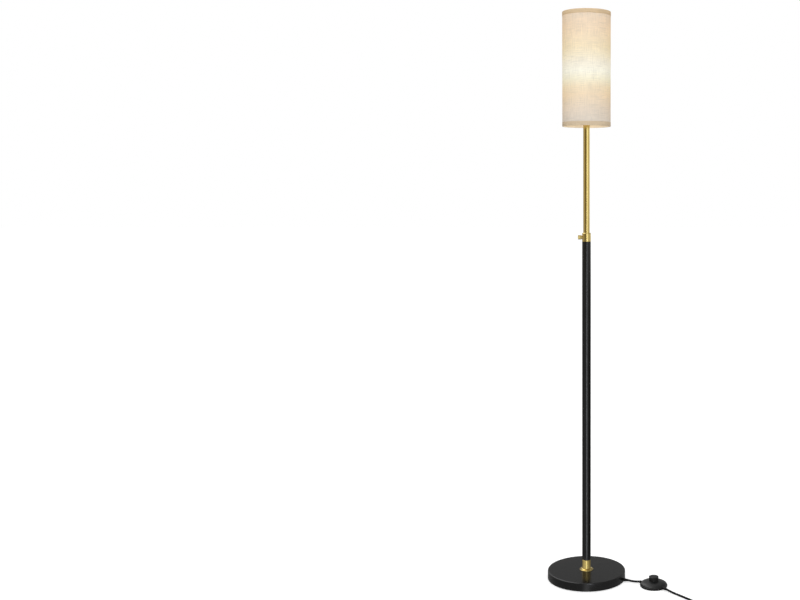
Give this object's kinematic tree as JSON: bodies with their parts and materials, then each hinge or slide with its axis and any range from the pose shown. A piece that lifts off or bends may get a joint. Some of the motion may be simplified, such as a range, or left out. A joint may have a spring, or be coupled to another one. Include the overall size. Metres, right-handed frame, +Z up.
{
  "type": "telescopic floor lamp",
  "caption": "Slim floor lamp with a round base, a two-part pole, a sliding stem held by a thumb screw, a tall linen drum shade and a foot switch on its lead.",
  "frame": {"origin": "centre of the base on the floor", "axes": "+Z up along the pole, -X towards the thumb screw, -Y towards the viewer, the lead leaves on the +X side"},
  "size_m": [0.4621, 0.4465, 1.659],
  "materials": {
    "black_powder": "matte black powder coat",
    "satin_brass": "satin brass plate",
    "cast_iron": "raw casting",
    "foam_rubber": "foam pad",
    "zinc_steel": "zinc plated",
    "white_nylon": "natural nylon",
    "holder_black": "moulded phenolic",
    "ceramic": "glazed ceramic",
    "contact_metal": "bare contact metal",
    "wire_enamel": "white enamelled wire",
    "shade_film": "white styrene film",
    "linen": "natural linen weave",
    "bulb_plastic": "white thermoplastic",
    "bulb_diffuser": "opal diffuser",
    "lead_pvc": "smooth black PVC",
    "switch_black": "fine satin ABS",
    "blade_metal": "nickel-bright blade"
  },
  "bodies": {
    "stand": {"base_cover": "black_powder", "base_weight": "cast_iron", "base_pad": "foam_rubber", "base_flange": "satin_brass", "base_ferrule": "satin_brass", "base_tube": "zinc_steel", "base_nut": "zinc_steel", "base_washer": "zinc_steel", "base_cord_relief": "lead_pvc", "lower_pole": "black_powder", "upper_pole": "black_powder", "foot_insert": "zinc_steel", "joiner_stud": "zinc_steel", "joiner_socket": "zinc_steel", "clamp_collar": "satin_brass", "pole_lead": "lead_pvc", "slack_lead": "lead_pvc", "switch_feet": "foam_rubber", "switch_plate": "switch_black", "switch_cover": "switch_black", "switch_spring": "zinc_steel", "switch_block": "white_nylon", "switch_contacts": "contact_metal", "switch_screws": "zinc_steel", "switch_inlet_relief": "lead_pvc", "switch_outlet_relief": "lead_pvc", "short_lead": "lead_pvc", "mains_lead": "lead_pvc", "mains_coil": "lead_pvc", "plug_body": "lead_pvc", "plug_blades": "blade_metal"},
    "friction_ring": {"friction_ring": "white_nylon"},
    "stem": {"guide_bush": "white_nylon", "stem_tube": "satin_brass", "stem_top_plug": "satin_brass", "holder_nipple": "zinc_steel", "holder_lock_nut": "zinc_steel", "holder_cap": "holder_black", "holder_core": "ceramic", "holder_contact": "contact_metal", "holder_terminals": "contact_metal", "holder_screw_shell": "contact_metal", "holder_sleeve": "holder_black", "shade_ring_nut": "holder_black", "shade_carrier": "wire_enamel", "shade_top_ring": "wire_enamel", "shade_liner": "shade_film", "shade_cover": "linen", "shade_hem_bottom": "linen", "shade_hem_top": "linen", "bulb_cap": "zinc_steel", "bulb_body": "bulb_plastic", "bulb_led_board": "ceramic", "bulb_globe": "bulb_diffuser", "stem_lead": "lead_pvc"},
    "clamp_pad": {"clamp_pad": "white_nylon"},
    "thumb_screw": {"thumb_screw": "satin_brass"},
    "switch_button": {"switch_button": "switch_black"}
  },
  "joints": [
    {"name": "stem_slide", "type": "slide", "parent": "stand", "child": "friction_ring", "axis": [0, 0, 1], "range_m": [-0.3, 0], "deforming": ["slack_lead"]},
    {"name": "stem_turn", "type": "hinge", "parent": "friction_ring", "child": "stem", "pos_m": [0, 0, 0.965], "axis": [0, 0, 1], "range_deg": [-175, 175]},
    {"name": "screw_travel", "type": "slide", "parent": "stand", "child": "clamp_pad", "axis": [-1, 0, 0], "range_m": [0, 0.0015]},
    {"name": "screw_turn", "type": "hinge", "parent": "clamp_pad", "child": "thumb_screw", "pos_m": [-0.0117, 0, 1.013], "axis": [-1, 0, 0], "range_deg": [0, 540]},
    {"name": "button_press", "type": "slide", "parent": "stand", "child": "switch_button", "axis": [0, 0, -1], "range_m": [0, 0.003], "stiffness_N_per_m": 500, "springref_m": -0.004, "deforming": ["switch_spring"]}
  ],
  "couplings": [
    {"joint": "screw_turn", "follows": "screw_travel", "rad_per_m": 6283}
  ]
}
